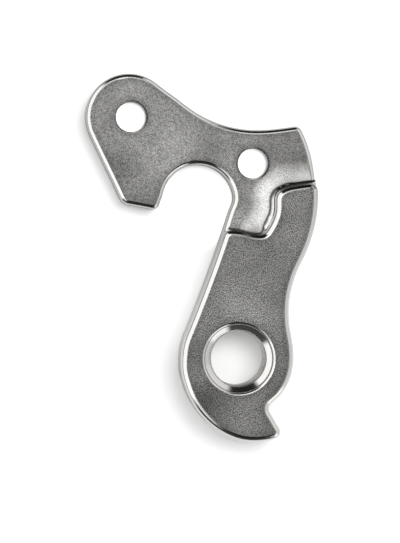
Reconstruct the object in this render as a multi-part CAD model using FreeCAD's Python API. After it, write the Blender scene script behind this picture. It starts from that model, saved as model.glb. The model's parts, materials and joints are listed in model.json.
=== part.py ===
"""Rear derailleur hanger: one solid plate with a raised pad.

The hanger is seen from the face that lies against the bicycle frame.
The origin is on the axis of the derailleur hole, at the flat back.
X points to the rear of the hanger, Y up towards the axle slot, Z out of the face.
All sizes are in millimetres, and headings and angles in degrees from +X.
Names that end in _dx and _dy are measured from the place that their heading gives.
"""
import FreeCAD, Part
import math
import os

# Thicknesses and edges
plate_thick = 3.8
pad_thick = 7.4
pad_edge_r = 1.0
plate_edge_r = 0.8
back_edge_r = 0.4

# Derailleur hole: a rounded rim, a shallow conical recess, a lead-in and the thread's bore
thread_minor_r = 4.55
lead_in_width = 0.25
lead_in_depth = 0.4
recess_floor_r = thread_minor_r + lead_in_width
recess_width = 0.85
recess_slope = 39
recess_mouth_r = recess_floor_r + recess_width
rim_drop = 0.6
rim_round = 0.5
back_chamfer = 0.4

# Axle slot
axle_x = -6.46
axle_y = 26.35
slot_r = 6.0
slot_rear_angle = 10
slot_front_angle = 168

# Frame bolt holes, from the axle
left_bolt_dx = -11.3
left_bolt_dy = 13.97
right_bolt_dx = 9.17
right_bolt_dy = 6.26
bolt_hole_r = 2.5
bolt_hole_chamfer = 0.35

# Lobe round the left bolt hole
lobe_wall = 4.77
lobe_r = bolt_hole_r + lobe_wall
lobe_shift = 0.29
lobe_slope_heading = -38.6
lobe_side_heading = 114.9

# Corner below the lobe, from the left bolt hole
lobe_corner_dx = -1.43
lobe_corner_dy = -14.51
lobe_corner_r = 2.0
lobe_foot_heading = 169.4

# Tooth between the lobe and the slot, from the axle
tooth_dx = -6.82
tooth_dy = -1.64
tooth_r = 1.14
tooth_slot_heading = -107.5

# Saddle, upper rear corner and shoulder, from the right bolt hole
saddle_r = 19.4
saddle_wall = 3.12
saddle_dx = 0.62
saddle_dy = bolt_hole_r + saddle_wall
upper_corner_dx = 7.87
upper_corner_dy = 6.38
upper_corner_r = 1.24
upper_edge_heading = 9
upper_rear_heading = -63.5
shoulder_dx = 10.64
shoulder_dy = -5.53

# Rear side, from the derailleur hole
sway_x = 10.56
sway_y = 16.06
sway_heading = -117.7
waist_x = 8.43
waist_y = 7.65
bulge_wall = 3.6
bulge_x = recess_mouth_r + bulge_wall
bulge_y = 0.1
bulge_end_x = 7.06
bulge_end_y = -6.08
bulge_end_heading = -131

# Stop hook, from the derailleur hole
notch_x = 4.73
notch_y = -8.2
notch_r = 1.24
notch_in_heading = -138
hook_x = 7.63
hook_y = -12.88
hook_r = 1.19
hook_rear_heading = -57
hook_foot_heading = -160

# Heel and front side, from the derailleur hole
heel_x = 2.57
heel_y = -13.93
heel_turn_x = -4.23
heel_turn_y = -11.4
heel_turn_heading = 142
cheek_x = -8.65
cheek_y = -5.42
cheek_heading = 111
front_wall = 3.99
front_x = -recess_mouth_r - front_wall
front_y = -0.95
neck_low_x = -8.84
neck_low_y = 3.8
neck_low_heading = 67.5

# Top of the neck's front side, from the axle
neck_top_dx = 5.03
neck_top_dy = -2.37
neck_top_heading = 72.5

# Step between plate and pad: the pad's wall in plan, from the right bolt hole
wall_dip_dx = 0.89
wall_dip_dy = -11.88
wall_swing_dx = 2.59
wall_swing_dy = -10.26
wall_swing_heading = 62
wall_rise_dx = 3.44
wall_rise_low_dy = -7.34
wall_rise_high_dy = -6.11
wall_shelf_dx = 6.27
wall_shelf_dy = -3.77
wall_shelf_heading = 10
pad_corner_r = 1.43

# The same wall's run to the front, from its dip, and to the rear, from its shelf
wall_front_dx = -8.55
wall_front_dy = 1.14
wall_middle_dx = -4.0
wall_middle_dy = 0.71
wall_front_heading = -4
wall_rear_dx = 13.3
wall_rear_dy = 1.14
wall_rear_heading = 4

# Sloping foot of that wall: its height, and how far it stands out at each station
foot_height = 0.95
foot_swing = 0.71
foot_rise = 0.57
foot_shelf = 0.47
foot_dip = 0.1

# How far a cutting shape reaches past what it cuts
past = 1.0


def unit(heading):
    """Unit vector in the plan, at a heading from +X."""
    angle = math.radians(heading)
    return FreeCAD.Vector(math.cos(angle), math.sin(angle), 0)


def from_axle(dx, dy):
    return FreeCAD.Vector(axle_x + dx, axle_y + dy, 0)


def from_left_bolt(dx, dy):
    return from_axle(left_bolt_dx + dx, left_bolt_dy + dy)


def from_right_bolt(dx, dy):
    return from_axle(right_bolt_dx + dx, right_bolt_dy + dy)


def from_hole(x, y):
    return FreeCAD.Vector(x, y, 0)


def on_circle(centre, radius, angle, clockwise):
    """The station at a polar angle of a circle that the outline follows."""
    heading = angle - 90 if clockwise else angle + 90
    return centre + unit(angle) * radius, unit(heading)


def corner(tip, heading_in, heading_out, radius):
    """Two stations that round the corner of two straight runs."""
    turn = math.radians(abs(heading_out - heading_in)) / 2
    reach = radius * math.tan(turn)
    before = tip - unit(heading_in) * reach
    after = tip + unit(heading_out) * reach
    return [(before, unit(heading_in)), (after, unit(heading_out))]


def arc_from(start, direction, end):
    """The arc, or straight run, that leaves start in a direction and reaches end."""
    chord = end - start
    along = chord / chord.Length
    ahead = direction.dot(along)
    aside = direction - along * ahead
    if aside.Length < 1e-4:
        return Part.LineSegment(start, end).toShape()
    middle = (start + end) / 2 + aside * (chord.Length / 2 / (1 + ahead))
    return Part.Arc(start, middle, end).toShape()


def biarc(first, second):
    """Two arcs that join two stations without a kink."""
    start, leave = first
    end, arrive = second
    chord = end - start
    both = leave + arrive
    spread = 1 - leave.dot(arrive)
    reach = chord.dot(both)
    if spread < 1e-9:
        length = chord.dot(chord) / (4 * chord.dot(arrive))
    else:
        root = math.sqrt(reach * reach + 2 * spread * chord.dot(chord))
        length = (root - reach) / (2 * spread)
    joint = (start + end + (leave - arrive) * length) / 2
    back = arc_from(end, arrive * -1, joint)
    return [arc_from(start, leave, joint), back]


def smooth_chain(stations):
    """Edges through all stations, in order. A station is a place and the direction there."""
    edges = []
    for first, second in zip(stations, stations[1:]):
        edges += biarc(first, second)
    return edges


def upper_stations():
    """From the side of the lobe over the top of the plate to the shoulder."""
    lobe = from_left_bolt(-lobe_shift, 0)
    saddle = from_right_bolt(saddle_dx, saddle_dy)
    saddle_centre = saddle + unit(90) * saddle_r
    upper_corner = from_right_bolt(upper_corner_dx, upper_corner_dy)
    stations = [
        on_circle(lobe, lobe_r, lobe_side_heading + 90, True),
        on_circle(lobe, lobe_r, 90, True),
        on_circle(lobe, lobe_r, lobe_slope_heading + 90, True),
        on_circle(saddle_centre, saddle_r, lobe_slope_heading - 90, False),
        (saddle, unit(0)),
    ]
    stations += corner(upper_corner, upper_edge_heading, upper_rear_heading, upper_corner_r)
    stations.append((from_right_bolt(shoulder_dx, shoulder_dy), unit(-90)))
    return stations


def lower_stations():
    """From the waist down the rear side, round the stop hook and the heel and up the neck."""
    stations = [
        (from_hole(sway_x, sway_y), unit(sway_heading)),
        (from_hole(waist_x, waist_y), unit(-90)),
        (from_hole(bulge_x, bulge_y), unit(-90)),
        (from_hole(bulge_end_x, bulge_end_y), unit(bulge_end_heading)),
    ]
    stations += corner(from_hole(notch_x, notch_y), notch_in_heading, hook_rear_heading, notch_r)
    stations += corner(from_hole(hook_x, hook_y), hook_rear_heading, hook_foot_heading, hook_r)
    stations += [
        (from_hole(heel_x, heel_y), unit(180)),
        (from_hole(heel_turn_x, heel_turn_y), unit(heel_turn_heading)),
        (from_hole(cheek_x, cheek_y), unit(cheek_heading)),
        (from_hole(front_x, front_y), unit(90)),
        (from_hole(neck_low_x, neck_low_y), unit(neck_low_heading)),
        (from_axle(neck_top_dx, neck_top_dy), unit(neck_top_heading)),
    ]
    return stations


def slot_stations():
    """Round the axle slot, the tooth and the corner below the lobe."""
    axle = from_axle(0, 0)
    tooth = from_axle(tooth_dx, tooth_dy)
    lobe_corner = from_left_bolt(lobe_corner_dx, lobe_corner_dy)
    angles = (slot_rear_angle, 90, slot_front_angle)
    stations = [on_circle(axle, slot_r, angle, False) for angle in angles]
    stations += corner(tooth, tooth_slot_heading, lobe_foot_heading - 360, tooth_r)
    stations += corner(lobe_corner, lobe_foot_heading, lobe_side_heading, lobe_corner_r)
    return stations


def outline_wire():
    """The hanger's whole outline, clockwise."""
    stations = upper_stations() + lower_stations() + slot_stations()
    edges = smooth_chain(stations + stations[:1])
    return Part.Wire(Part.__sortEdges__(edges))


def step_stations(swing, rise, shelf, dip):
    """The step across the hanger, front to rear, standing out from the pad's wall."""
    low = from_right_bolt(wall_dip_dx, wall_dip_dy)
    high = from_right_bolt(wall_shelf_dx, wall_shelf_dy)
    wall = [
        (low + FreeCAD.Vector(wall_front_dx, wall_front_dy, 0), wall_front_heading, dip),
        (low + FreeCAD.Vector(wall_middle_dx, wall_middle_dy, 0), wall_front_heading, dip),
        (low, 0, dip),
        (from_right_bolt(wall_swing_dx, wall_swing_dy), wall_swing_heading, swing),
        (from_right_bolt(wall_rise_dx, wall_rise_low_dy), 90, rise),
        (from_right_bolt(wall_rise_dx, wall_rise_high_dy), 90, rise),
        (high, wall_shelf_heading, shelf),
        (high + FreeCAD.Vector(wall_rear_dx, wall_rear_dy, 0), wall_rear_heading, shelf),
    ]
    return [(place + unit(heading + 90) * out, unit(heading)) for place, heading, out in wall]


def step_wire(outline, stations):
    """The step, closed round everything on the pad's side of it."""
    box = outline.BoundBox
    edges = smooth_chain(stations)
    start = stations[0][0]
    end = stations[-1][0]
    low_rear = FreeCAD.Vector(end.x, box.YMin - past, 0)
    low_front = FreeCAD.Vector(box.XMin - past, box.YMin - past, 0)
    front = FreeCAD.Vector(box.XMin - past, start.y, 0)
    corners = [end, low_rear, low_front, front, start]
    for first, second in zip(corners, corners[1:]):
        edges.append(Part.LineSegment(first, second).toShape())
    return Part.Wire(Part.__sortEdges__(edges))


def wall_wire(outline):
    return step_wire(outline, step_stations(0, 0, 0, 0))


def crease_wire(outline):
    """The edge that the wall's foot leaves on the plate."""
    return step_wire(outline, step_stations(foot_swing, foot_rise, foot_shelf, foot_dip))


def prism(wire, low, high):
    """An upright solid on a closed plan curve."""
    face = Part.Face(wire)
    face.translate(FreeCAD.Vector(0, 0, low))
    return face.extrude(FreeCAD.Vector(0, 0, high - low))


def edges_at(solid, height):
    """The edges that lie level at one height."""
    level = []
    for edge in solid.Edges:
        box = edge.BoundBox
        if abs(box.ZMin - height) < 1e-4 and abs(box.ZMax - height) < 1e-4:
            level.append(edge)
    return level


def rounded_blank(outline, height):
    """The whole outline at one thickness, with its front edge rounded."""
    blank = prism(outline, 0, height)
    return blank.makeFillet(plate_edge_r, edges_at(blank, height))


def corner_uprights(solid, wires):
    """The upright edges where two plan curves cross, which neither curve has by itself."""
    known = [vertex.Point for wire in wires for vertex in wire.Vertexes]
    found = []
    for edge in solid.Edges:
        place = edge.Vertexes[0].Point
        foot = FreeCAD.Vector(place.x, place.y, 0)
        upright = edge.BoundBox.ZLength > solid.BoundBox.ZLength / 2
        if upright and all(foot.distanceToPoint(point) > 1e-3 for point in known):
            found.append(edge)
    return found


def make_pad(outline):
    """The thick lower body, with its edge rounded all the way round and along the step."""
    wall = wall_wire(outline)
    pad = prism(outline, 0, pad_thick).common(prism(wall, -past, pad_thick + past))
    pad = pad.makeFillet(pad_corner_r, corner_uprights(pad, [outline, wall]))
    return pad.makeFillet(pad_edge_r, edges_at(pad, pad_thick))


def make_foot(outline):
    """The sloping foot of the pad's wall, standing on the plate."""
    crease = crease_wire(outline)
    wall = wall_wire(outline)
    root = plate_thick - plate_edge_r
    top = plate_thick + foot_height
    base = prism(crease, root, plate_thick)
    crease.translate(FreeCAD.Vector(0, 0, plate_thick))
    wall.translate(FreeCAD.Vector(0, 0, top))
    slope = Part.makeLoft([crease, wall], True, True)
    return slope.fuse(base).common(rounded_blank(outline, top))


def turned(profile, centre):
    """A solid turned about an upright axis from (radius, height) points."""
    points = [centre + FreeCAD.Vector(radius, 0, height) for radius, height in profile]
    points.append(points[0])
    face = Part.Face(Part.makePolygon(points))
    return face.revolve(centre, FreeCAD.Vector(0, 0, 1), 360)


def bolt_hole_cutter(centre):
    """A plain bolt hole with a small chamfer on both faces."""
    wide = bolt_hole_r + bolt_hole_chamfer
    profile = [
        (0, -past),
        (wide, -past),
        (wide, 0),
        (bolt_hole_r, bolt_hole_chamfer),
        (bolt_hole_r, plate_thick - bolt_hole_chamfer),
        (wide, plate_thick),
        (wide, plate_thick + past),
        (0, plate_thick + past),
    ]
    return turned(profile, centre)


def derailleur_hole_cutter():
    """The bore with its back chamfer, the lead-in and the recess in the pad's face."""
    wide = thread_minor_r + back_chamfer
    cone_top = pad_thick - rim_drop
    cone_width = recess_mouth_r - recess_floor_r
    cone_floor = cone_top - cone_width * math.tan(math.radians(recess_slope))
    profile = [
        (0, -past),
        (wide, -past),
        (wide, 0),
        (thread_minor_r, back_chamfer),
        (thread_minor_r, cone_floor - lead_in_depth),
        (recess_floor_r, cone_floor),
        (recess_mouth_r, cone_top),
        (recess_mouth_r, pad_thick + past),
        (0, pad_thick + past),
    ]
    return turned(profile, from_hole(0, 0))


def is_circle(edge, radius):
    curve = edge.Curve
    return isinstance(curve, Part.Circle) and abs(curve.Radius - radius) < 1e-4


def round_rim(solid):
    """Round the recess's mouth where it meets the pad's face."""
    rim = [edge for edge in edges_at(solid, pad_thick) if is_circle(edge, recess_mouth_r)]
    return solid.makeFillet(rim_round, rim)


def make_hanger():
    """Plate, pad and foot as one solid, then its back edge and its holes."""
    outline = outline_wire()
    plate = rounded_blank(outline, plate_thick)
    body = plate.fuse([make_pad(outline), make_foot(outline)]).removeSplitter()
    body = body.makeFillet(back_edge_r, edges_at(body, 0))
    cutters = [
        bolt_hole_cutter(from_left_bolt(0, 0)),
        bolt_hole_cutter(from_right_bolt(0, 0)),
        derailleur_hole_cutter(),
    ]
    return round_rim(body.cut(cutters))


def write_part(name, shape):
    """Write one solid as its own file."""
    if not shape.isValid() or len(shape.Solids) != 1:
        raise ValueError(name + " is not one valid solid")
    shape.Solids[0].exportStep("parts/" + name + ".step")
    box = shape.BoundBox
    print(name, round(box.XLength, 2), round(box.YLength, 2), round(box.ZLength, 2), round(shape.Volume, 1))


os.makedirs("parts", exist_ok=True)
write_part("hanger", make_hanger())
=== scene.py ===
"""Looks of the derailleur hanger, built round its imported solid.

The hanger lies on a pale floor with its frame side up, under soft boxes.
Every length is in metres and every angle in degrees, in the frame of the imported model.
"""
import json
import math

import bpy
import numpy as np
from mathutils import Matrix, Vector
from mathutils.geometry import delaunay_2d_cdt


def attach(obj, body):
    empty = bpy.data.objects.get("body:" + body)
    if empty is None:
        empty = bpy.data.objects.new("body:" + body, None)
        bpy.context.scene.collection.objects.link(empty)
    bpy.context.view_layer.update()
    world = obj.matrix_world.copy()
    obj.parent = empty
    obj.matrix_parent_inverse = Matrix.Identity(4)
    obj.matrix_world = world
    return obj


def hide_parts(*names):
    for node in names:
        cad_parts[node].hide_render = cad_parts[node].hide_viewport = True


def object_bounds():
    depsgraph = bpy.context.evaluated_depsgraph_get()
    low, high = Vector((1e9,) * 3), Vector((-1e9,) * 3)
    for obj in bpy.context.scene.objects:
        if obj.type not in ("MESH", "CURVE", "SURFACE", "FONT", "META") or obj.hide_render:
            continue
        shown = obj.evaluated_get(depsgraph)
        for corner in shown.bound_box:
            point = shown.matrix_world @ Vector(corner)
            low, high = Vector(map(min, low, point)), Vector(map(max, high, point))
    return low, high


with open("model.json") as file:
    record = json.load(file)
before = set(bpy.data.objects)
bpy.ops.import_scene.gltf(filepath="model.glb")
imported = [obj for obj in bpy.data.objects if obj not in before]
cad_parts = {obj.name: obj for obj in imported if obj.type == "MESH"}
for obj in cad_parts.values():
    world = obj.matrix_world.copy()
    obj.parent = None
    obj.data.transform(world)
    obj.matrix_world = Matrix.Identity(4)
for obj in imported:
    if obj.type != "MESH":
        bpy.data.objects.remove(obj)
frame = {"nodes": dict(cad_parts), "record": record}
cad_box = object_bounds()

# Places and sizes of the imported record, by the name of the mount
mounts = {mount["name"]: mount for mount in frame["record"]["mounts"]}
millimetres_per_metre = 1000.0

# Camera: above the hanger and a little to its left, aimed at the middle of the image. Its lens is in
# millimetres, and it sees from camera_near to camera_far
camera_place = Vector((-0.04294, 0.0189, 0.43776))
camera_aim = Vector((-0.00651, 0.01452, 0.0074))
camera_lens = 172.4
camera_near = 0.01
camera_far = 20.0
image_up = Vector((0.0, 1.0, 0.0))

# Floor: as white as paper, with a little light of its own for the camera
floor_half_side = 4.0
floor_white = 0.93
floor_lift = 0.15

# Floor in mirrored and bounced light: its share of white near and in the middle, what is left of that far
# away, and the stretches along y on which it changes
floor_near = 0.8
floor_middle = 0.55
floor_far = 0.08
near_fade = (0.0, 0.03)
far_fade = (0.050, 0.075)

# Painted light on the floor that hides the hanger's shadow in the bolt holes and the slot: centre, radius,
# soft edge and the share that the metal mirrors
painted_light_places = {
    "left_bolt_hole": (-0.01776, 0.04032, 0.0032, 0.0004, 0.45),
    "right_bolt_hole": (0.00271, 0.03261, 0.0032, 0.0004, 0.45),
    "axle_slot": (-0.0062, 0.0258, 0.0070, 0.0030, 0.0),
}
painted_light_lift = 0.7

# Soft boxes of the studio: azimuth of the middle, half width, lowest and highest zenith angle, strength.
# Azimuths count from x, and zenith angles from straight up
studio = {
    "left_box": (169.0, 46.0, 12.0, 79.0, 1.4),
    "right_box": (37.0, 29.0, 34.0, 88.0, 0.95),
    "right_grey": (-14.0, 22.0, 34.0, 88.0, 0.8),
    "near_box": (-50.0, 16.0, 42.0, 88.0, 1.4),
    "near_grey": (-111.0, 40.0, 62.0, 88.0, 0.05),
    "heel_box": (226.0, 18.0, 10.0, 50.0, 0.95),
    "far_ceiling": (92.0, 33.0, 12.0, 33.0, 0.85),
    "right_ceiling": (0.0, 45.0, 8.0, 34.0, 0.24),
}

# Strength between the boxes, and the width of their soft edges above and below, and at the sides
studio_dark = 0.02
studio_softness = 5.0
studio_side_softness = 12.0
degrees_per_radian = 180.0 / math.pi

# Overhead panel: centre, width, depth and radiance
overhead_place = Vector((-0.02, 0.17, 0.6))
overhead_width = 0.24
overhead_depth = 0.30
overhead_radiance = 1.05

# Key lamp of the floor, which the metal doesn't mirror. Its level says how bright a white floor is under it
key_aim = Vector((-0.006, 0.017, 0.0))
key_zenith = 25.0
key_azimuth = 42.0
key_distance = 1.2
key_side = 0.75
key_level = 0.6

# Level faces of the solid, and the radius of the plate's rounded edge
plate_top = mounts["frame_seat"]["pos_m"][2]
pad_top = cad_box[1].z
plate_edge_r = 0.0008

# Points added on the level faces: their spacing, the share of it between two rows, and how near the rim
face_spacing = 0.0003
row_share = 0.87
face_margin = 0.0001

# Tolerances: how finely places are told apart, what is the same height or radius, and what is a rise
places_per_metre = 1e7
same_size = 1e-6
least_rise = 1e-5

# The level faces are filled in millimetres, to this tolerance, and first over the whole hull of their points
fill_tolerance = 1e-6
whole_hull = 0

# Foot of the step: its top, its reach from the crease and how far its triangles look up
foot_top = 0.00475
foot_reach = 0.0008
foot_tilt = (0.05, 0.75)

# Slope of the plate towards the step: its rise, its width, the power that bends it, and the x where it starts
ramp_rise = 0.0006
ramp_width = 0.0033
ramp_bend = 1.5
ramp_start = 0.0036

# Wear and painted light on the plate beside the step: the width of that band, and the share of the grain that
# is smoothed away on the whole plate and that much more where the wear is
wear_and_painted_light_width = 0.0045
plate_smooth = 0.4
worn_smooth = 0.3

# Dirt and painted shade in the crease, and the stretch along x on which they thin out to their share on the
# rear run
crease_reach = 0.0003
rear_run = (0.0088, 0.0100)
rear_soil_and_shade = 0.65

# Painted shade on the step's foot where it bends to the rear: centre, radius, share and the height it reaches
bend_place = (0.0062, 0.0280)
bend_radius = 0.0020
bend_share = 0.85
bend_top = 0.0060

# Pad's edge where the step runs across: its width, how squarely it runs, and where along x this starts
step_width = 0.0016
crossing_turn = (0.75, 0.97)
crossing_start = (-0.0018, -0.0008)

# Painted shade in the groove of that edge: it thins out on these heights, and on this stretch along x
groove_depths = (0.0068, 0.00725)
groove_end = (0.0028, 0.0046)

# Ring of painted shade where the rounded rim of the recess begins: radius, half width and tone
ring_r = 0.00568
ring_width = 0.00014
ring_shade_tone = 0.45

# Painted shade along the rim of the level faces: its width and its tone
rim_shade_width = 0.0012
rim_shade_tone = 0.8

# Painted light and shade on places of the level faces: centre, radius and change of the tone
painted_face_light = {
    "plate_middle": (-0.0125, 0.0345, 0.0085, 0.30),
    "lobe_top": (-0.0185, 0.0450, 0.0040, 0.12),
    "lobe_side": (-0.0203, 0.0320, 0.0065, -0.25),
    "above_slot": (-0.0012, 0.0320, 0.0035, 0.35),
    "above_bolt": (0.0024, 0.0366, 0.0030, 0.12),
    "saddle": (-0.0045, 0.0370, 0.0035, -0.15),
    "beside_bolt": (0.0100, 0.0325, 0.0035, -0.20),
    "ramp_end": (0.0115, 0.0298, 0.0030, 0.30),
    "tooth": (-0.0160, 0.0270, 0.0040, -0.12),
    "neck": (-0.0004, 0.0233, 0.0041, 0.72),
    "front_crease": (0.0030, 0.0212, 0.0020, -0.40),
    "beside_step": (0.0072, 0.0233, 0.0032, -0.25),
    "below_step": (0.0012, 0.0188, 0.0070, -0.16),
    "above_recess": (0.0012, 0.0078, 0.0050, 0.34),
    "beside_recess": (0.0072, 0.0058, 0.0050, 0.16),
    "cheek": (-0.0072, 0.0000, 0.0036, -0.22),
    "heel": (-0.0053, -0.0072, 0.0050, -0.48),
    "hook_foot": (0.0010, -0.0120, 0.0035, 0.15),
}

# Grain of the blasting: scale, detail and roughness of its noise, the noise's range and the tones for it
grain_noise = (6200.0, 5.0, 0.7)
grain_range = (0.34, 0.66)
grain_tones = (-0.1, 2.1)
bump_strength = 0.5
bump_height = 0.00005

# Soft clouds over the blasted faces, in the same way
cloud_noise = (170.0, 3.0, 0.5)
cloud_range = (0.3, 0.7)
cloud_tones = (0.88, 1.12)

# Polished and blasted metal: how squarely a blasted face looks up, both roughnesses, and the tones of a
# polished edge and of the pad's edge across the step, which is darkened there by painted shade
blasted_upright = (0.988, 0.9995)
polished_roughness = 0.14
blasted_roughness = 0.38
polished_tone = 0.85
crossing_shade_tone = 0.42

# Tones away from the step's wear and painted light and in the dirt and painted shade, and the ranges of their
# change
plain_blasted_tone = 0.41
wear_and_painted_light_range = (0.1, 0.95)
soil_and_shade_tone = 0.12
soil_and_shade_range = (0.25, 0.95)

# Warm tint of the metal: its green and blue as shares of its red
green_share = 0.99
blue_share = 0.965

# Thread M10 x 1 in the bore, and how far the normals of the bore's plain wall may lean
bore_r = mounts["derailleur_thread"]["dims"]["r_mm"] / millimetres_per_metre
bore_lean = 0.1
thread_major_r = 0.005
thread_pitch = 0.001
thread_rows = 60
thread_run_out = 0.0006


# Nodes

class NodeTree:
    """Short ways to add and join the nodes of one material or world."""

    def __init__(self, owner):
        owner.use_nodes = True
        self.nodes = owner.node_tree.nodes
        self.links = owner.node_tree.links
        self.nodes.clear()

    def add(self, kind):
        return self.nodes.new(kind)

    def fill(self, socket, value):
        """Set a socket to a plain number, or join it to the output of another node."""
        if isinstance(value, (int, float)):
            socket.default_value = value
        else:
            self.links.new(value, socket)

    def math(self, operation, first, second=0.0):
        node = self.add("ShaderNodeMath")
        node.operation = operation
        self.fill(node.inputs[0], first)
        self.fill(node.inputs[1], second)
        return node.outputs["Value"]

    def product(self, first, *others):
        """Several values multiplied."""
        for other in others:
            first = self.math("MULTIPLY", first, other)
        return first

    def eased(self, value, ends, first, last):
        """Map a value, from first at its one end to last at its other, with a soft start and a soft stop."""
        node = self.add("ShaderNodeMapRange")
        node.interpolation_type = "SMOOTHSTEP"
        node.inputs["From Min"].default_value = ends[0]
        node.inputs["From Max"].default_value = ends[1]
        node.inputs["To Min"].default_value = first
        node.inputs["To Max"].default_value = last
        self.links.new(value, node.inputs["Value"])
        return node.outputs["Result"]

    def mixed(self, share, first, second):
        """First where the share is 0, second where it is 1."""
        node = self.add("ShaderNodeMix")
        node.data_type = "FLOAT"
        self.fill(node.inputs[0], share)
        self.fill(node.inputs[2], first)
        self.fill(node.inputs[3], second)
        return node.outputs[0]

    def noise(self, place, scale, detail, roughness):
        node = self.add("ShaderNodeTexNoise")
        node.inputs["Scale"].default_value = scale
        node.inputs["Detail"].default_value = detail
        node.inputs["Roughness"].default_value = roughness
        self.links.new(place, node.inputs["Vector"])
        return node.outputs["Fac"]

    def carried(self, name):
        """A value that the mesh carries under this name."""
        node = self.add("ShaderNodeAttribute")
        node.attribute_name = name
        return node.outputs["Fac"]

    def parts(self, vector):
        """The three numbers of a vector, by their letters."""
        node = self.add("ShaderNodeSeparateXYZ")
        self.links.new(vector, node.inputs["Vector"])
        return node.outputs

    def plan_distance(self, place, x, y):
        """Level distance of a place from an upright axis."""
        node = self.add("ShaderNodeVectorMath")
        node.operation = "MULTIPLY_ADD"
        self.links.new(place, node.inputs[0])
        node.inputs[1].default_value = (1.0, 1.0, 0.0)
        node.inputs[2].default_value = (-x, -y, 0.0)
        length = self.add("ShaderNodeVectorMath")
        length.operation = "LENGTH"
        self.links.new(node.outputs["Vector"], length.inputs[0])
        return length.outputs["Value"]


# Camera, floor and light

def look_at(place, aim, up):
    """Matrix of a camera or lamp at place that looks at aim."""
    back = (place - aim).normalized()
    right = up.cross(back).normalized()
    turned = Matrix((right, back.cross(right), back)).transposed()
    return Matrix.Translation(place) @ turned.to_4x4()


def direction(zenith, azimuth):
    """Unit vector at a zenith angle and an azimuth."""
    zenith = math.radians(zenith)
    azimuth = math.radians(azimuth)
    level = math.sin(zenith)
    return Vector((level * math.cos(azimuth), level * math.sin(azimuth), math.cos(zenith)))


def add_camera():
    data = bpy.data.cameras.new("camera")
    data.lens = camera_lens
    data.clip_start = camera_near
    data.clip_end = camera_far
    camera = bpy.data.objects.new("camera", data)
    camera.matrix_world = look_at(camera_place, camera_aim, image_up)
    bpy.context.scene.collection.objects.link(camera)
    bpy.context.scene.camera = camera


def floor_colour(tree, place, seen):
    """White for the camera, and darker towards the back for the light that the hanger mirrors."""
    along_y = tree.parts(place)["Y"]
    far = tree.eased(along_y, far_fade, 1.0, floor_far)
    near = tree.eased(along_y, near_fade, floor_near, floor_middle)
    return tree.product(tree.math("MAXIMUM", tree.product(far, near), seen), floor_white)


def floor_light(tree, place, seen, mirrored):
    """A little light of the floor's own for the camera, and painted light that hides the shadow in the holes
    and the slot.
    """
    light = tree.product(seen, floor_lift)
    # Painted light in the holes and the slot that hides the shadow, and that the metal in part mirrors
    for x, y, radius, soft, share in painted_light_places.values():
        looked_at = tree.math("MAXIMUM", seen, tree.product(mirrored, share))
        away = tree.plan_distance(place, x, y)
        painted_light = tree.eased(away, (radius - soft, radius + soft), painted_light_lift, 0.0)
        light = tree.math("MAXIMUM", light, tree.product(painted_light, looked_at))
    return light


def floor_paper():
    """Matt paper that glows a little, but only for the camera, and in the holes and the slot with painted
    light that the metal in part mirrors.
    """
    material = bpy.data.materials.new("floor_paper")
    tree = NodeTree(material)
    place = tree.add("ShaderNodeTexCoord").outputs["Object"]
    paths = tree.add("ShaderNodeLightPath").outputs
    seen = paths["Is Camera Ray"]
    mirrored = paths["Is Glossy Ray"]
    shader = tree.add("ShaderNodeBsdfDiffuse")
    tree.fill(shader.inputs["Color"], floor_colour(tree, place, seen))
    glow = tree.add("ShaderNodeEmission")
    tree.fill(glow.inputs["Strength"], floor_light(tree, place, seen, mirrored))
    both = tree.add("ShaderNodeAddShader")
    tree.fill(both.inputs[0], shader.outputs["BSDF"])
    tree.fill(both.inputs[1], glow.outputs["Emission"])
    output = tree.add("ShaderNodeOutputMaterial")
    tree.fill(output.inputs["Surface"], both.outputs["Shader"])
    return material


def add_floor():
    """A wide matt floor that keeps the hanger's shadow, but for the painted light that hides it in the holes
    and the slot.
    """
    low = -floor_half_side
    high = floor_half_side
    corners = [(x, y, cad_box[0].z) for x, y in ((low, low), (high, low), (high, high), (low, high))]
    mesh = bpy.data.meshes.new("floor")
    mesh.from_pydata(corners, [], [(0, 1, 2, 3)])
    mesh.materials.append(floor_paper())
    floor = bpy.data.objects.new("floor", mesh)
    bpy.context.scene.collection.objects.link(floor)


def add_panel(name, matrix, width, length, radiance):
    """A rectangular lamp of even radiance that the camera doesn't see."""
    data = bpy.data.lights.new(name, "AREA")
    data.shape = "RECTANGLE"
    data.size = width
    data.size_y = length
    data.energy = math.pi * width * length * radiance
    lamp = bpy.data.objects.new(name, data)
    lamp.matrix_world = matrix
    lamp.visible_camera = False
    bpy.context.scene.collection.objects.link(lamp)
    return lamp


def add_lamps():
    """The overhead panel and the slanting key lamp, whose radiance follows from its size and distance."""
    straight_down = Matrix.Translation(overhead_place)
    add_panel("overhead_panel", straight_down, overhead_width, overhead_depth, overhead_radiance)
    place = key_aim + direction(key_zenith, key_azimuth) * key_distance
    slant = math.cos(math.radians(key_zenith)) * (key_side / key_distance) ** 2
    radiance = key_level * math.pi / slant
    key = add_panel("floor_key", look_at(place, key_aim, image_up), key_side, key_side, radiance)
    key.visible_glossy = False


def around(middle, softness):
    """Both ends of a soft edge."""
    return middle - softness / 2.0, middle + softness / 2.0


def along(tree, view, x_share, y_share):
    """How far a direction points along one azimuth."""
    return tree.math("ADD", tree.product(view["X"], x_share), tree.product(view["Y"], y_share))


def soft_box(tree, view, zenith, azimuth, half_width, low, high, strength):
    """Light of one box of the studio, by azimuth and zenith angle."""
    cosine = math.cos(math.radians(azimuth))
    sine = math.sin(math.radians(azimuth))
    ahead = along(tree, view, cosine, sine)
    aside = along(tree, view, -sine, cosine)
    away = tree.math("ABSOLUTE", tree.product(tree.math("ARCTAN2", aside, ahead), degrees_per_radian))
    across = tree.eased(away, around(half_width, studio_side_softness), strength, 0.0)
    above = tree.eased(zenith, around(low, studio_softness), 0.0, 1.0)
    below = tree.eased(zenith, around(high, studio_softness), 1.0, 0.0)
    return tree.product(across, tree.product(above, below))


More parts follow.
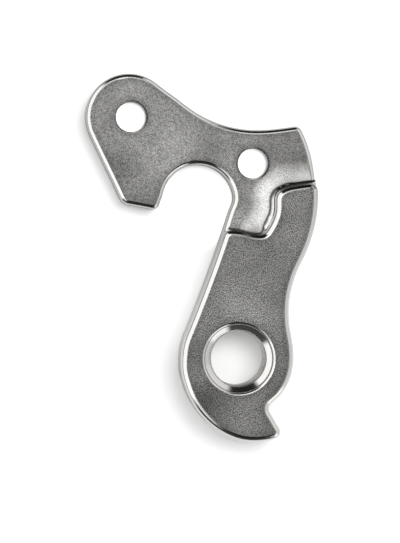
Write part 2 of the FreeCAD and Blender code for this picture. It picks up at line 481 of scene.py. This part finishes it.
def add_world():
    """The studio's soft boxes all round, with a plain pale backdrop for the camera."""
    world = bpy.data.worlds.new("studio")
    bpy.context.scene.world = world
    tree = NodeTree(world)
    view = tree.parts(tree.add("ShaderNodeTexCoord").outputs["Generated"])
    zenith = tree.product(tree.math("ARCCOSINE", view["Z"]), degrees_per_radian)
    sky = studio_dark
    for box in studio.values():
        sky = tree.math("ADD", soft_box(tree, view, zenith, *box), sky)
    boxes = tree.add("ShaderNodeBackground")
    tree.fill(boxes.inputs["Strength"], sky)
    backdrop = tree.add("ShaderNodeBackground")
    choose = tree.add("ShaderNodeMixShader")
    tree.fill(choose.inputs["Fac"], tree.add("ShaderNodeLightPath").outputs["Is Camera Ray"])
    tree.fill(choose.inputs[1], boxes.outputs["Background"])
    tree.fill(choose.inputs[2], backdrop.outputs["Background"])
    output = tree.add("ShaderNodeOutputWorld")
    tree.fill(output.inputs["Surface"], choose.outputs["Shader"])


# Metal

def blasted_share(tree, normal):
    """1 on the blasted level faces and 0 on the polished edges."""
    upright = tree.math("ABSOLUTE", tree.parts(normal)["Z"])
    return tree.math("MAXIMUM", tree.eased(upright, blasted_upright, 0.0, 1.0), tree.carried("level"))


def blasted_tone(tree, place, grain):
    """Grain, clouds, painted shade at the rim, painted light and shade, and wear with painted light beside
    the step.
    """
    speckle = tree.eased(grain, grain_range, *grain_tones)
    speckle = tree.mixed(tree.carried("fine"), speckle, 1.0)
    clouds = tree.eased(tree.noise(place, *cloud_noise), cloud_range, *cloud_tones)
    # Painted shade along the rim of the level faces
    rim = tree.eased(tree.carried("rim_shade_share"), (0.0, 1.0), rim_shade_tone, 1.0)
    # Wear and painted light on the plate beside the step
    wear_and_painted_light = tree.eased(tree.carried("wear_and_painted_light"), wear_and_painted_light_range, plain_blasted_tone, 1.0)
    # The carried tone is painted light and shade on places of the level faces
    return tree.product(speckle, clouds, tree.carried("tone"), rim, wear_and_painted_light)


def unsoiled_unshaded_share(tree, place):
    """1 on the plain metal, and less where dirt and painted shade lie along the step and on the ring of
    painted shade round the recess.
    """
    # Dirt and painted shade in the crease, and painted shade in the groove and at the bend
    unsoiled_unshaded = tree.eased(tree.carried("soil_and_shade"), soil_and_shade_range, 1.0, soil_and_shade_tone)
    # Ring of painted shade round the recess
    away = tree.plan_distance(place, 0.0, 0.0)
    within = tree.eased(away, (ring_r - ring_width, ring_r), 1.0, ring_shade_tone)
    beyond = tree.eased(away, (ring_r, ring_r + ring_width), ring_shade_tone, 1.0)
    return tree.product(unsoiled_unshaded, tree.math("MAXIMUM", within, beyond))


def metal_tone(tree, place, grain, blasted):
    """Tone of the whole surface, polished, blasted and dirtied, with its painted light and shade."""
    # The pad's edge across the step gets darker: painted shade
    polished = tree.eased(tree.carried("crossing"), (0.0, 1.0), polished_tone, crossing_shade_tone)
    tone = tree.mixed(blasted, polished, blasted_tone(tree, place, grain))
    return tree.product(tone, unsoiled_unshaded_share(tree, place))


def metal_colour(tree, tone):
    node = tree.add("ShaderNodeCombineColor")
    tree.fill(node.inputs["Red"], tone)
    tree.fill(node.inputs["Green"], tree.product(tone, green_share))
    tree.fill(node.inputs["Blue"], tree.product(tone, blue_share))
    return node.outputs["Color"]


def metal_bumps(tree, height):
    node = tree.add("ShaderNodeBump")
    tree.fill(node.inputs["Strength"], bump_strength)
    tree.fill(node.inputs["Distance"], bump_height)
    tree.fill(node.inputs["Height"], height)
    return node.outputs["Normal"]


def blasted_aluminium():
    """Fine blasted level faces and polished edges, told apart by the tilt of the surface."""
    material = bpy.data.materials.new("blasted_aluminium_look")
    tree = NodeTree(material)
    coordinates = tree.add("ShaderNodeTexCoord").outputs
    place = coordinates["Object"]
    blasted = blasted_share(tree, coordinates["Normal"])
    grain = tree.noise(place, *grain_noise)
    tone = metal_tone(tree, place, grain, blasted)
    roughness = tree.eased(blasted, (0.0, 1.0), polished_roughness, blasted_roughness)
    shader = tree.add("ShaderNodeBsdfPrincipled")
    tree.fill(shader.inputs["Metallic"], 1.0)
    tree.fill(shader.inputs["Base Color"], metal_colour(tree, tone))
    tree.fill(shader.inputs["Roughness"], roughness)
    tree.fill(shader.inputs["Normal"], metal_bumps(tree, tree.product(grain, blasted)))
    output = tree.add("ShaderNodeOutputMaterial")
    tree.fill(output.inputs["Surface"], shader.outputs["BSDF"])
    return material


# Meshes in general

def smoothstep(values, low, high):
    """0 up to low and 1 from high on, with a soft start and a soft stop."""
    share = np.clip((values - low) / (high - low), 0.0, 1.0)
    return share * share * (3.0 - 2.0 * share)


def welded(mesh):
    """Points, triangles and corner normals of a mesh, with one point at each place."""
    count = len(mesh.vertices)
    places = np.empty(count * 3)
    mesh.vertices.foreach_get("co", places)
    places = places.reshape(count, 3)
    corners = np.empty(len(mesh.loops), dtype=np.int64)
    mesh.loops.foreach_get("vertex_index", corners)
    normals = np.empty(len(mesh.loops) * 3)
    mesh.corner_normals.foreach_get("vector", normals)
    rounded = np.round(places * places_per_metre).astype(np.int64)
    first, back = np.unique(rounded, axis=0, return_index=True, return_inverse=True)[1:]
    triangles = back.reshape(-1)[corners].reshape(-1, 3)
    return places[first], triangles, normals.reshape(-1, 3, 3)


def smooth_normals(points, triangles):
    """Corner normals that are smooth inside one group of triangles."""
    a, b, c = (points[triangles[:, i]] for i in range(3))
    flat = np.cross(b - a, c - a)
    total = np.zeros_like(points)
    for i in range(3):
        np.add.at(total, triangles[:, i], flat)
    length = np.linalg.norm(total, axis=1)
    total[length > 0] /= length[length > 0, None]
    return total[triangles]


def rim_edges(triangles):
    """Edges that only one triangle of a group has."""
    edges = np.concatenate([triangles[:, [0, 1]], triangles[:, [1, 2]], triangles[:, [2, 0]]])
    ordered = np.sort(edges, axis=1)
    first, number = np.unique(ordered, axis=0, return_index=True, return_counts=True)[1:]
    return edges[first[number == 1]]


def plan_ends(points, edges):
    """Plan places of both ends of some edges."""
    return points[edges[:, 0], :2], points[edges[:, 1], :2]


def distance_to(plan, starts, ends):
    """Plan distance of every point to the nearest of some straight edges, and that edge's number."""
    best = np.full(len(plan), np.inf)
    which = np.zeros(len(plan), dtype=np.int64)
    for number, (start, end) in enumerate(zip(starts, ends)):
        run = end - start
        share = np.clip((plan - start) @ run / (run @ run), 0.0, 1.0)
        away = np.linalg.norm(plan - start - share[:, None] * run, axis=1)
        closer = away < best
        best[closer] = away[closer]
        which[closer] = number
    return best, which


def inside(plan, starts, ends):
    """Which points lie inside closed rims, holes left out."""
    within = np.zeros(len(plan), dtype=bool)
    for (x0, y0), (x1, y1) in zip(starts, ends):
        if y0 == y1:
            continue
        spans = (plan[:, 1] < y0) != (plan[:, 1] < y1)
        crossing = x0 + (plan[:, 1] - y0) * (x1 - x0) / (y1 - y0)
        within ^= spans & (plan[:, 0] < crossing)
    return within


# Level faces

def level_face(points, triangles, height):
    """Numbers of the triangles of the face that looks up at one height."""
    flat = np.all(np.abs(points[triangles][:, :, 2] - height) < same_size, axis=1)
    return np.nonzero(flat)[0]


def plan_grid(starts, ends):
    """Evenly spaced places inside closed rims, in rows that are shifted against each other."""
    low = starts.min(axis=0)
    high = starts.max(axis=0)
    xs = np.arange(low[0], high[0], face_spacing)
    ys = np.arange(low[1], high[1], face_spacing * row_share)
    grid_x, grid_y = np.meshgrid(xs, ys)
    grid_x[::2] += face_spacing / 2.0
    grid = np.column_stack([grid_x.ravel(), grid_y.ravel()])
    grid = grid[inside(grid, starts, ends)]
    return grid[distance_to(grid, starts, ends)[0] > face_margin]


def turned_up(plan, triangles):
    """Level triangles, all in the order that makes them look up."""
    a, b, c = (plan[triangles[:, i]] for i in range(3))
    first = b - a
    second = c - a
    down = first[:, 0] * second[:, 1] - first[:, 1] * second[:, 0] < 0
    triangles[down] = triangles[down][:, ::-1]
    return triangles


def joined_plan(plan, borders):
    """Triangles between level points that keep to the borders, each corner by its point's number."""
    corners = [Vector(place) for place in plan * millimetres_per_metre]
    filled = delaunay_2d_cdt(corners, borders, [], whole_hull, fill_tolerance, True)
    origin = [sources[0] for sources in filled[3]]
    made = np.array([[origin[i] for i in triangle] for triangle in filled[2]])
    return turned_up(plan, made)


def filled_face(points, face):
    """A level face with points added all over it: all the points, and the face's new triangles."""
    edges = rim_edges(face)
    starts, ends = plan_ends(points, edges)
    grid = plan_grid(starts, ends)
    used = np.unique(edges)
    plan = np.concatenate([points[used, :2], grid])
    slot = {number: place for place, number in enumerate(used)}
    made = joined_plan(plan, [(slot[a], slot[b]) for a, b in edges])
    made = made[inside(plan[made].mean(axis=1), starts, ends)]
    added = np.column_stack([grid, np.full(len(grid), points[used[0], 2])])
    numbers = np.concatenate([used, len(points) + np.arange(len(grid))])
    return np.concatenate([points, added]), numbers[made]


def filled_faces(points, triangles):
    """Both level faces, filled: all the points, each face's new triangles and which old ones they replace."""
    faces = []
    replaced = np.zeros(len(triangles), dtype=bool)
    for height in (plate_top, pad_top):
        face = level_face(points, triangles, height)
        replaced[face] = True
        points, made = filled_face(points, triangles[face])
        faces.append(made)
    return points, faces, replaced


def painted_face_light_of(points):
    """Painted light and shade on places of the level faces."""
    tone = np.ones(len(points))
    for x, y, radius, change in painted_face_light.values():
        away = np.hypot(points[:, 0] - x, points[:, 1] - y)
        tone += change * (1.0 - smoothstep(away, 0.0, radius))
    return tone


def rim_shade_share_of(points, faces):
    """0 on the rim of the level faces and 1 inside their border of painted shade."""
    share = np.zeros(len(points))
    for face in faces:
        used = np.unique(face)
        away = distance_to(points[used, :2], *plan_ends(points, rim_edges(face)))[0]
        share[used] = np.clip(away / rim_shade_width, 0.0, 1.0)
    return share


# Step: its slope, its wear and painted light, and its dirt and painted shade

def crease_edges(points, triangles):
    """Edges of the plate's top beyond which the surface rises."""
    face = level_face(points, triangles, plate_top)
    rim = {tuple(sorted(edge)) for edge in rim_edges(triangles[face]).tolist()}
    rising = set()
    outside = np.delete(triangles, face, axis=0)
    outside = outside[np.any(points[outside][:, :, 2] > plate_top + least_rise, axis=1)]
    for triangle in outside.tolist():
        for a, b in ((0, 1), (1, 2), (2, 0)):
            edge = tuple(sorted((triangle[a], triangle[b])))
            if edge in rim:
                rising.add(edge)
    return np.array(sorted(rising))


def foot_triangles(points, triangles, normals, crease):
    """Which triangles belong to the sloping foot of the step."""
    heights = points[triangles][:, :, 2]
    foot = np.all((heights > plate_top - same_size) & (heights < foot_top + same_size), axis=1)
    tilt = normals[:, :, 2].mean(axis=1)
    foot &= (tilt > foot_tilt[0]) & (tilt < foot_tilt[1])
    middles = points[triangles[foot]].mean(axis=1)[:, :2]
    foot[foot] = distance_to(middles, *plan_ends(points, crease))[0] < foot_reach
    return foot


def raise_ramp(points, crease):
    """Lift the plate into a shallow slope near the rear part of the step, and say how much, and how much wear
    and painted light it has there.
    """
    starts, ends = plan_ends(points, crease)
    rear = (starts + ends)[:, 0] / 2.0 > ramp_start
    away = distance_to(points[:, :2], starts[rear], ends[rear])[0]
    low = plate_top - plate_edge_r
    share = np.clip((points[:, 2] - low) / plate_edge_r, 0.0, 1.0)
    share[points[:, 2] > plate_top + same_size] = 0.0
    lift = ramp_rise * np.clip(1.0 - away / ramp_width, 0.0, 1.0) ** ramp_bend
    points[:, 2] += lift * share
    wear_and_painted_light = np.where(share > 0.0, np.clip(1.0 - away / wear_and_painted_light_width, 0.0, 1.0), 0.0)
    return lift, wear_and_painted_light


def less_steep(normals, triangles, lift):
    """Normals of the step's foot once the slope has made it less steep."""
    normals = normals.copy()
    normals[:, :, :2] *= (1.0 - lift[triangles] / (foot_top - plate_top))[:, :, None]
    return normals / np.linalg.norm(normals, axis=2)[:, :, None]


def crossing_share(points, crease):
    """Where the pad's edge runs along the step straight across the hanger."""
    starts, ends = plan_ends(points, crease)
    away, which = distance_to(points[:, :2], starts, ends)
    runs = (ends - starts)[which]
    across = smoothstep(np.abs(runs[:, 0]) / np.linalg.norm(runs, axis=1), *crossing_turn)
    across *= smoothstep(points[:, 0], *crossing_start)
    return np.where((away < step_width) & (points[:, 2] > foot_top), across, 0.0)


def crease_soil_and_shade(points, crease):
    """Dirt and painted shade along the crease, on the plate and the foot."""
    away = distance_to(points[:, :2], *plan_ends(points, crease))[0]
    soil_and_shade = np.exp(-away / crease_reach)
    soil_and_shade *= 1.0 - (1.0 - rear_soil_and_shade) * smoothstep(points[:, 0], *rear_run)
    soil_and_shade[points[:, 2] > foot_top - same_size] = 0.0
    return soil_and_shade


def groove_shade(points, crossing):
    """Painted shade down in the narrow groove on the front part of the step."""
    deep = 1.0 - smoothstep(points[:, 2], *groove_depths)
    front = 1.0 - smoothstep(points[:, 0], *groove_end)
    return crossing * deep * front


def bend_shade(points):
    """Painted shade on the foot where the step bends to the rear."""
    away = np.hypot(points[:, 0] - bend_place[0], points[:, 1] - bend_place[1])
    low = (points[:, 2] > plate_top + same_size) & (points[:, 2] < bend_top)
    return np.where(low, bend_share * (1.0 - smoothstep(away, 0.0, bend_radius)), 0.0)


# Thread

def bore_wall(points, triangles, normals):
    """Which triangles are the plain wall of the bore."""
    radii = np.hypot(points[:, 0], points[:, 1])
    wall = np.all(np.abs(radii[triangles] - bore_r) < same_size, axis=1)
    return wall & np.all(np.abs(normals[:, :, 2]) < bore_lean, axis=1)


def bore_rings(points, wall):
    """The lowest and the highest ring of the bore's points, each in order round the axis."""
    used = np.unique(wall)
    heights = points[used, 2]
    rings = []
    for height in (heights.min(), heights.max()):
        ring = used[np.abs(heights - height) < same_size]
        rings.append(ring[np.argsort(np.arctan2(points[ring, 1], points[ring, 0]))])
    return rings


def thread_ring(angles, height, low, high):
    """Points of the thread at one height. It runs out towards both ends of the bore."""
    phase = height / thread_pitch - angles / (2.0 * math.pi)
    groove = 0.5 - 0.5 * np.cos(2.0 * math.pi * phase)
    end = min(height - low, high - height) / thread_run_out
    radius = bore_r + (thread_major_r - bore_r) * groove * min(1.0, end)
    return np.column_stack([radius * np.cos(angles), radius * np.sin(angles), np.full(len(angles), height)])


def band(below, above):
    """Two triangles for each point, between one ring and the next."""
    after_below = np.roll(below, -1)
    after_above = np.roll(above, -1)
    lower = np.column_stack([below, after_above, after_below])
    upper = np.column_stack([below, above, after_above])
    return np.concatenate([lower, upper])


def threaded(points, wall):
    """The thread between the bore's two end rings: all the points, and the thread's triangles."""
    first, last = bore_rings(points, wall)
    low = points[first, 2].min()
    high = points[last, 2].max()
    angles = np.arctan2(points[first, 1], points[first, 0])
    rings = [first]
    for row in range(1, thread_rows):
        height = low + (high - low) * row / thread_rows
        rings.append(len(points) + np.arange(len(angles)))
        points = np.concatenate([points, thread_ring(angles, height, low, high)])
    rings.append(last)
    return points, np.concatenate([band(below, above) for below, above in zip(rings, rings[1:])])


# The hanger as a whole

def detailed_mesh(source):
    """The solid's own mesh with filled level faces, the slope beside the step and the thread.

    The dirt and painted shade are placed by the heights that the points have before the slope is raised.
    """
    points, triangles, normals = welded(source)
    crease = crease_edges(points, triangles)
    foot = foot_triangles(points, triangles, normals, crease)
    wall = bore_wall(points, triangles, normals)
    points, faces, replaced = filled_faces(points, triangles)
    crossing = crossing_share(points, crease)
    soil_and_shade_marks = [crease_soil_and_shade(points, crease), groove_shade(points, crossing), bend_shade(points)]
    lift, wear_and_painted_light = raise_ramp(points, crease)
    fine = np.where(points[:, 2] < foot_top, plate_smooth + worn_smooth * wear_and_painted_light, 0.0)
    rim_shade_share = rim_shade_share_of(points, faces)
    normals[foot] = less_steep(normals[foot], triangles[foot], lift)
    points, thread = threaded(points, triangles[wall])
    kept = ~(replaced | wall)
    made = faces + [thread]
    normals = np.concatenate([normals[kept]] + [smooth_normals(points, group) for group in made])
    triangles = np.concatenate([triangles[kept]] + made)
    level = np.zeros(len(triangles))
    level[kept.sum():len(triangles) - len(thread)] = 1.0
    values = {
        "rim_shade_share": rim_shade_share,
        # Dirt and painted shade in the crease, and painted shade in the groove and at the bend
        "soil_and_shade": np.maximum.reduce(soil_and_shade_marks),
        "wear_and_painted_light": wear_and_painted_light,
        "fine": fine,
        "tone": painted_face_light_of(points),
        "crossing": crossing,
    }
    return points, triangles, normals, level, values


def add_values(mesh, name, domain, values):
    """Let the mesh carry values under a name, with zero for the thread's points where they are missing."""
    attribute = mesh.attributes.new(name, "FLOAT", domain)
    padded = np.zeros(len(attribute.data))
    padded[:len(values)] = values
    attribute.data.foreach_set("value", padded)


def add_hanger():
    points, triangles, normals, level, values = detailed_mesh(frame["nodes"]["hanger"].data)
    mesh = bpy.data.meshes.new("hanger_body")
    mesh.from_pydata(points.tolist(), [], triangles.tolist())
    mesh.polygons.foreach_set("use_smooth", [True] * len(triangles))
    mesh.normals_split_custom_set(normals.reshape(-1, 3).tolist())
    add_values(mesh, "level", "CORNER", np.repeat(level, 3))
    for name, point_values in values.items():
        add_values(mesh, name, "POINT", point_values)
    hanger = bpy.data.objects.new("hanger_body", mesh)
    bpy.context.scene.collection.objects.link(hanger)
    mesh.materials.append(blasted_aluminium())
    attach(hanger, "root")
    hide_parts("hanger")


add_camera()
add_floor()
add_lamps()
add_world()
add_hanger()
bpy.context.scene.view_settings.view_transform = "Standard"
